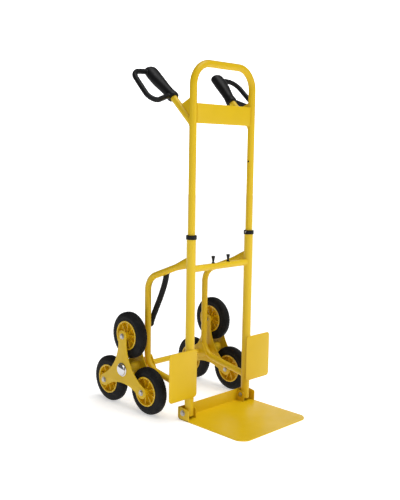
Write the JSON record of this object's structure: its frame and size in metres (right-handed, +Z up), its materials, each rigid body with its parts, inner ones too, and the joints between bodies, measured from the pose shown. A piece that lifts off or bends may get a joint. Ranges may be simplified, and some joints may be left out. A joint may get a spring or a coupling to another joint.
{
  "type": "stair-climbing hand truck",
  "caption": "Folding hand truck with telescopic mast, fold-up toe plate, D-handles and a turning three-wheel star cluster on each side for climbing stairs.",
  "frame": {"origin": "bottom centre of the bounding box, on the floor", "axes": "+Z up, -Y towards the toe plate (the front), +Y towards the wheels, +X to the right seen from the front"},
  "size_m": [0.5154, 0.67, 1.1657],
  "materials": {
    "yellow_powder_coat": "satin yellow powder coat with fine orange peel",
    "grip_plastic": "fine-textured black plastic",
    "collar_plastic": "smooth black plastic",
    "tyre": "black rubber",
    "rim_plastic": "yellow moulded plastic",
    "black_elastic": "black covered elastic",
    "zinc_steel": "bright zinc plate",
    "chrome": "polished chrome"
  },
  "bodies": {
    "chassis": {"lower_mast_tube_left": "yellow_powder_coat", "lower_mast_tube_right": "yellow_powder_coat", "cross_tube": "yellow_powder_coat", "rear_frame_left": "yellow_powder_coat", "axle_bracket_left": "yellow_powder_coat", "side_guard_left": "yellow_powder_coat", "collar_left": "collar_plastic", "hook_post_left": "collar_plastic", "hub_cap_left": "chrome", "toe_pivot_bolt_left": "zinc_steel", "rear_frame_right": "yellow_powder_coat", "axle_bracket_right": "yellow_powder_coat", "side_guard_right": "yellow_powder_coat", "collar_right": "collar_plastic", "hook_post_right": "collar_plastic", "hub_cap_right": "chrome", "toe_pivot_bolt_right": "zinc_steel", "axle_tube": "yellow_powder_coat", "axle_rod": "zinc_steel", "load_strap": "black_elastic", "strap_socket_upper": "collar_plastic", "strap_socket_lower": "collar_plastic"},
    "mast": {"mast_loop": "yellow_powder_coat", "name_plate": "yellow_powder_coat", "handle_tube_left": "yellow_powder_coat", "handle_gusset_left": "yellow_powder_coat", "grip_left": "grip_plastic", "handle_tube_right": "yellow_powder_coat", "handle_gusset_right": "yellow_powder_coat", "grip_right": "grip_plastic"},
    "toe": {"toe_plate": "yellow_powder_coat", "toe_lug_left": "yellow_powder_coat", "toe_lug_right": "yellow_powder_coat"},
    "lock_left": {"lock_button_left": "zinc_steel"},
    "lock_right": {"lock_button_right": "zinc_steel"},
    "cluster_left": {"star_outer_left": "yellow_powder_coat", "star_inner_left": "yellow_powder_coat", "hub_barrel_left": "yellow_powder_coat", "wheel_bolt_left_1": "zinc_steel", "wheel_bolt_left_2": "zinc_steel", "wheel_bolt_left_3": "zinc_steel"},
    "wheel_left_1": {"tyre_left_1": "tyre", "rim_left_1": "rim_plastic"},
    "wheel_left_2": {"tyre_left_2": "tyre", "rim_left_2": "rim_plastic"},
    "wheel_left_3": {"tyre_left_3": "tyre", "rim_left_3": "rim_plastic"},
    "cluster_right": {"star_outer_right": "yellow_powder_coat", "star_inner_right": "yellow_powder_coat", "hub_barrel_right": "yellow_powder_coat", "wheel_bolt_right_1": "zinc_steel", "wheel_bolt_right_2": "zinc_steel", "wheel_bolt_right_3": "zinc_steel"},
    "wheel_right_1": {"tyre_right_1": "tyre", "rim_right_1": "rim_plastic"},
    "wheel_right_2": {"tyre_right_2": "tyre", "rim_right_2": "rim_plastic"},
    "wheel_right_3": {"tyre_right_3": "tyre", "rim_right_3": "rim_plastic"}
  },
  "joints": [
    {"name": "mast_slide", "type": "slide", "parent": "chassis", "child": "mast", "axis": [0, 0, 1], "range_m": [-0.241, 0]},
    {"name": "toe_fold", "type": "hinge", "parent": "chassis", "child": "toe", "pos_m": [0, -0.06877, 0.025], "axis": [-1, 0, 0], "range_deg": [0, 86]},
    {"name": "lock_left_press", "type": "slide", "parent": "chassis", "child": "lock_left", "axis": [-1, 0, 0], "range_m": [0, 0.002], "stiffness_N_per_m": 300},
    {"name": "lock_right_press", "type": "slide", "parent": "chassis", "child": "lock_right", "axis": [1, 0, 0], "range_m": [0, 0.002], "stiffness_N_per_m": 300},
    {"name": "cluster_left_spin", "type": "hinge", "parent": "chassis", "child": "cluster_left", "pos_m": [-0.2036, 0.15503, 0.1377], "axis": [1, 0, 0], "continuous": true},
    {"name": "wheel_left_1_spin", "type": "hinge", "parent": "cluster_left", "child": "wheel_left_1", "pos_m": [-0.2036, 0.15503, 0.2531], "axis": [1, 0, 0], "continuous": true},
    {"name": "wheel_left_2_spin", "type": "hinge", "parent": "cluster_left", "child": "wheel_left_2", "pos_m": [-0.2036, 0.05509, 0.08], "axis": [1, 0, 0], "continuous": true},
    {"name": "wheel_left_3_spin", "type": "hinge", "parent": "cluster_left", "child": "wheel_left_3", "pos_m": [-0.2036, 0.25497, 0.08], "axis": [1, 0, 0], "continuous": true},
    {"name": "cluster_right_spin", "type": "hinge", "parent": "chassis", "child": "cluster_right", "pos_m": [0.2036, 0.15503, 0.1377], "axis": [1, 0, 0], "continuous": true},
    {"name": "wheel_right_1_spin", "type": "hinge", "parent": "cluster_right", "child": "wheel_right_1", "pos_m": [0.2036, 0.15503, 0.2531], "axis": [1, 0, 0], "continuous": true},
    {"name": "wheel_right_2_spin", "type": "hinge", "parent": "cluster_right", "child": "wheel_right_2", "pos_m": [0.2036, 0.05509, 0.08], "axis": [1, 0, 0], "continuous": true},
    {"name": "wheel_right_3_spin", "type": "hinge", "parent": "cluster_right", "child": "wheel_right_3", "pos_m": [0.2036, 0.25497, 0.08], "axis": [1, 0, 0], "continuous": true}
  ]
}
